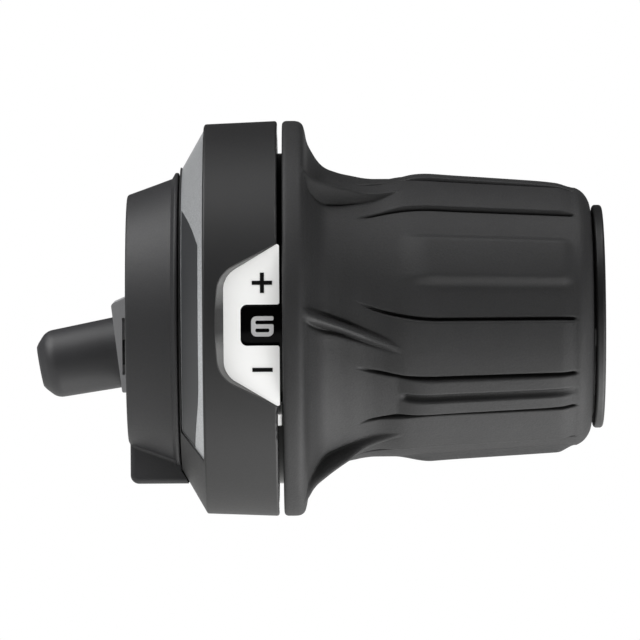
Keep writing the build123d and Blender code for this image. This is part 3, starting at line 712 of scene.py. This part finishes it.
# rubber grip: a flared sleeve with three lobes of pads, fine grooves and gusset fins
# each lobe is the same to both sides of its middle, and angles on it are counted from there
grip = {
    "lobes": (27.0, 147.0, 268.8),
    # outlines are pairs of station along the bar and radius
    "flange": [
        (21.55, 25.01), (21.55, 26.0), (21.55, 26.86), (21.58, 27.06), (21.67, 27.24),
        (21.82, 27.37), (22.02, 27.44), (22.35, 27.46), (22.9, 27.46), (23.3, 27.45),
    ],
    "body": [
        (23.3, 27.45), (23.75, 27.38), (24.1, 27.2), (24.4, 26.9), (24.62, 26.3), (24.8, 25.3),
        (24.95, 24.6), (25.25, 23.85), (25.7, 23.03), (26.2, 22.2), (27, 21.25), (27.8, 20.72),
        (28.7, 20.38), (29.5, 20.12), (31.2, 19.75), (32.9, 19.42), (34.2, 19.31), (37.9, 19.3),
        (46, 18.84), (54, 18.37), (62.1, 17.88),
    ],
    "end": [
        (62.55, 17.72), (62.95, 17.47), (63.3, 17.15), (63.6, 16.78), (63.85, 16.38),
        (64.03, 15.98), (64.14, 15.6), (64.2, 15.2), (64.2, 14.65),
    ],
    "inside": [(63.65, 14.65), (63.65, 15.05), (43, 15.05), (23.05, 15.05), (23.05, 20), (23.05, 25.01)],
    # rows of the body: from, to, step
    "stations": [(23.5, 26.5, 0.2), (26.5, 34, 0.3), (34, 44, 0.4), (44, 58, 0.7), (58, 62.2, 0.35)],
    # short pad on the lobe's middle
    "shortPad": 10.0,  # from the middle to its edge
    "shortPadHeight": 0.87,
    "shortPadSoft": 2.3,
    "shortPadRamp": (36.8, 42.2),
    # long pad between the two fine grooves
    "longPadHeight": 0.45,
    "longPadRamp": (34.5, 38.5),
    "padEnd": (59.5, 62.0),
    "padStep": 0.5,
    # fine grooves, which lean towards the lobe's middle at their flared end
    "groove": (26.0, 50.4),
    "grooveBend": (4.6, 3.2),
    "grooveFrom": 43,  # station where the lean begins
    "grooveRun": 9,  # length in which it grows to the bend
    "grooveReach": 1.5,  # it stops growing at this many such lengths
    "grooveStart": ((31.0, 36.8), (31.2, 36.0)),
    "grooveEnd": (61.0, 61.8),
    "grooveHalf": 0.27,  # half its width
    "grooveWall": (0.1, 1.2),  # shares of that where the wall starts and ends
    "grooveDepth": 0.95,
    # raised band between two lobes, with a groove along its middle
    "bandRise": [
        (37.3, 0), (38.3, 0.3), (39.7, 0.64), (41.2, 0.82), (42.2, 0.86), (46.2, 0.83),
        (52, 0.76), (57, 0.68), (59.6, 0.53), (61.3, 0.12), (62, 0),
    ],
    "bandCrown": (42.2, 0.86),  # station and height of its highest point
    "bandGroove": 1.25,  # width
    "bandGrooveWall": (0.4, 1.1),  # shares of half of that where the wall starts and ends
    "bandGrooveDepth": 0.85,
    "bandGrooveStart": (37.7, 38.5),
    # gusset fins by station: angle of the crest, its radius, and a factor on the section's width
    "finCrest": [
        (23.9, 22.6), (26.7, 25.4), (29.5, 28.0), (33.6, 32.8), (37.1, 37.0), (38.6, 39.2), (39.2, 40.2),
    ],
    "finTop": [
        (23.9, 27.3), (24.5, 26.95), (25.05, 26.2), (25.6, 25.3), (26.2, 24.65), (27.3, 23.85),
        (28.4, 23.1), (29.5, 22.43), (30.6, 21.83), (31.7, 21.15), (33, 20.45), (35, 19.98),
        (37, 19.78), (38, 19.65), (38.6, 19.45), (39.2, 19.2),
    ],
    "finWidth": [
        (23.9, 0.9), (26.7, 1.15), (29.5, 1.05), (33.6, 1.0),
        (36, 0.85), (37.6, 0.65), (38.6, 0.4), (39.2, 0.2),
    ],
    # across a fin: degrees from its crest and share of its height, with steep walls and a crease at each foot
    "finSection": [
        (-3.1, 0), (-2.6, -0.04), (-2.2, -0.16), (-1.8, -0.17), (-1.45, 0.0), (-1.15, 0.36),
        (-0.8, 0.78), (-0.45, 0.96), (-0.1, 1), (0.4, 0.99), (0.9, 0.92), (1.4, 0.74),
        (1.9, 0.46), (2.35, 0.15), (2.7, -0.05), (3.0, -0.09), (3.3, -0.06), (3.6, 0.0),
        (4.0, 0.05), (4.7, 0.06), (5.8, 0.04), (7.3, 0.01), (8.8, 0),
    ],
    "finClear": 2.4,  # least angle from a fin's foot to the middle of the inner groove's columns
    # columns of the mesh, in degrees from the lobe's middle, from a groove's line,
    # and back from the band's middle
    "padColumns": [0, 1.4, 2.8, 4.2, 5.6, 7.0, 7.9, 8.8, 9.6, 10.4, 11.2, 12.3, 13.2],
    "grooveColumns": [-1.9, -1.15, -0.8, -0.5, -0.22, 0, 0.22, 0.5, 0.8, 1.15, 1.9],
    "bandColumns": [2.8, 2.1, 1.5, 0.8, 0],
    "fillColumns": 5,  # points of each even run between these, its ends included
    "columnSpan": (24, 62),  # rows outside these stations take the columns of the nearer one
}


def grooveAngles(x, look):
    reach = np.clip((look["grooveFrom"] - x) / look["grooveRun"], 0, look["grooveReach"])
    return [angle - bend * reach ** 2 for angle, bend in zip(look["groove"], look["grooveBend"])]


def finAngles(x, look):
    crest = smoothCurve(look["finCrest"], np.array([x]))[0]
    width = smoothCurve(look["finWidth"], np.array([x]))[0]
    return [crest + width * angle for angle, share in look["finSection"]]


# angles from a lobe's middle to half way to the next, closer together where grooves and fins run
def gripColumns(x, half, look):
    inner, outer = grooveAngles(x, look)
    fin = finAngles(min(x, look["finTop"][-1][0]), look)
    inner = min(inner, fin[0] - look["finClear"])
    blocks = (
        [inner + step for step in look["grooveColumns"]],
        fin,
        [outer + step for step in look["grooveColumns"]],
        [half - step for step in look["bandColumns"]],
    )
    angles = list(look["padColumns"])
    for block in blocks:
        angles += list(np.linspace(angles[-1], block[0], look["fillColumns"]))[1:-1] + block
    return np.array(angles)


def gripHeight(x, radius, angles, half, look):  # how far the pads, grooves and fins move the plain surface
    inner, outer = grooveAngles(x, look)
    degree = math.radians(1) * radius  # length of one degree round the surface
    band = smoothCurve(look["bandRise"], np.array([x]))[0]
    padEnd = 1 - ease(*look["padEnd"], x)
    longPad = look["longPadHeight"] * ease(*look["longPadRamp"], x) * padEnd
    shortPad = look["shortPadHeight"] * ease(*look["shortPadRamp"], x) * padEnd
    edge, soft, step = look["shortPad"], look["shortPadSoft"], look["padStep"]
    height = shortPad * (1 - ease(edge - soft, edge + soft, angles))
    height = height + longPad * ease(inner - step, inner + step, angles)
    height = height + (band - longPad) * ease(outer - step, outer + step, angles)
    crownAt, crown = look["bandCrown"]
    sunk = band / crown
    if x < crownAt:  # the groove starts bluntly, low on the band's ramp
        sunk = max(sunk, ease(*look["bandGrooveStart"], x))
    fromMiddle = np.abs(half - angles) * degree / (look["bandGroove"] / 2)
    height = height - look["bandGrooveDepth"] * sunk * (1 - ease(*look["bandGrooveWall"], fromMiddle))
    for line, start in zip((inner, outer), look["grooveStart"]):
        depth = look["grooveDepth"] * ease(*start, x) * (1 - ease(*look["grooveEnd"], x))
        fromLine = np.abs(angles - line) * degree / look["grooveHalf"]
        height = height - depth * (1 - ease(*look["grooveWall"], fromLine))
    if look["finTop"][0][0] < x < look["finTop"][-1][0]:
        top = max(smoothCurve(look["finTop"], np.array([x]))[0] - radius, 0)
        shares = [share for angle, share in look["finSection"]]
        height = height + np.maximum(top - height, 0) * np.interp(angles, finAngles(x, look), shares)
    return height


def buildGrip(look):
    stations = np.concatenate([np.arange(*run) for run in look["stations"]])
    rows = [(x, r, False) for x, r in look["flange"]]
    rows += [(x, r, True) for x, r in zip(stations, smoothCurve(look["body"], stations))]
    rows += [(x, r, False) for x, r in look["end"] + look["inside"]]
    nextLobes = look["lobes"][1:] + (look["lobes"][0] + 360,)
    points = []
    for x, radius, shaped in rows:
        for middle, following in zip(look["lobes"], nextLobes):
            half = (following - middle) / 2
            angles = gripColumns(float(np.clip(x, *look["columnSpan"])), half, look)
            rise = gripHeight(x, radius, angles, half, look) if shaped else angles * 0
            points += [onBar(x, radius + h, middle + a) for a, h in zip(angles[:-1], rise[:-1])]
            points += [onBar(x, radius + h, following - a) for a, h in zip(angles[:0:-1], rise[:0:-1])]
    around = len(points) // len(rows)
    faces = []
    for row in range(len(rows)):
        first = row * around
        second = (row + 1) % len(rows) * around
        for i in range(around):
            j = (i + 1) % around
            faces.append((first + i, first + j, second + j, second + i))
    rubberFinish = finish["rubber_blastedTool"]
    piece = newPiece("grip_rubber", points, faces, rubberFinish, "twist_grip")
    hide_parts("grip_cover")
    return piece


gripPiece = buildGrip(grip)
print("grip built:", len(gripPiece.data.polygons), "faces")


# printed graphite band on the silver shoulder, cut off at a slant
band = {
    "from": (7.667, 20.906),  # station and radius of the shoulder's inner edge
    "along": (0.4966, 0.868),  # the way up the shoulder from there
    "inner": 0.3,
    "outer": 4.85,
    "outerLow": 3.7,
    "narrowFrom": -18,
    "start": -44.6,
    "endInner": 46.5,
    "endOuter": 25.5,
    "film": 0.03,
    "rows": 6,
    "columns": 60,
}


def buildBand(look):
    rows, columns = look["rows"], look["columns"]
    wide = columns + 1
    below = (rows + 1) * wide  # from a point on the face to the one under it
    out = (-look["along"][1], look["along"][0])
    points = []
    for lift in (look["film"], -look["film"]):
        for row in range(rows + 1):
            end = look["endInner"] + (look["endOuter"] - look["endInner"]) * row / rows
            for i in range(wide):
                angle = look["start"] + (end - look["start"]) * i / columns
                narrowed = ease(look["narrowFrom"], look["start"], angle)
                outer = look["outer"] - (look["outer"] - look["outerLow"]) * narrowed
                t = look["inner"] + (outer - look["inner"]) * row / rows
                x = look["from"][0] + t * look["along"][0] + lift * out[0]
                r = look["from"][1] + t * look["along"][1] + lift * out[1]
                points.append(onBar(x, r, angle))
    faces = []
    for row in range(rows):
        for i in range(columns):
            a = row * wide + i
            b = a + wide
            faces.append((a, b, b + 1, a + 1))
            faces.append((below + a + 1, below + a, below + b, below + b + 1))
    rim = [(0, i) for i in range(columns)] + [(i, columns) for i in range(rows)]
    rim += [(rows, columns - i) for i in range(columns)] + [(rows - i, 0) for i in range(rows)]
    loop = [row * wide + i for row, i in rim]
    for a, b in zip(loop, loop[1:] + loop[:1]):
        faces.append((a, b, below + b, below + a))
    ink = finish["ink_graphiteScreenPrinted"]
    return newPiece("shoulder_print", points, faces, ink, "housing")


buildBand(band)


# white index tab on the ring's end face, seen in the gap beside the flange
tab = {
    "x": (20.86, 21.42),
    "radius": (23.2, 26.6),
    "angle": -29.2,
    "spread": 3.8,
    "round": 0.18,
    "roundShare": 0.3,  # how far in the middle of the rounded edge lies
    "steps": 8,
}


def buildTab(look):
    (start, end), (low, high) = look["x"], look["radius"]
    soft = look["round"]
    nip = look["roundShare"] * soft
    outline = [
        (start, low), (end, low), (end, high - soft),
        (end - nip, high - nip), (end - soft, high), (start, high),
    ]
    ring, steps = len(outline), look["steps"]
    turns = [(i / steps - 0.5) * look["spread"] for i in range(steps + 1)]
    points = [onBar(x, r, look["angle"] + turn) for turn in turns for x, r in outline]
    faces = []
    for i in range(steps):
        for j in range(ring):
            k = (j + 1) % ring
            faces.append((i * ring + j, i * ring + k, (i + 1) * ring + k, (i + 1) * ring + j))
    faces += [tuple(range(ring))[::-1], tuple(steps * ring + j for j in range(ring))]
    return newPiece("index_tab", points, faces, finish["abs_whitePolished"], "housing")


buildTab(tab)
print("printed band and index tab built")
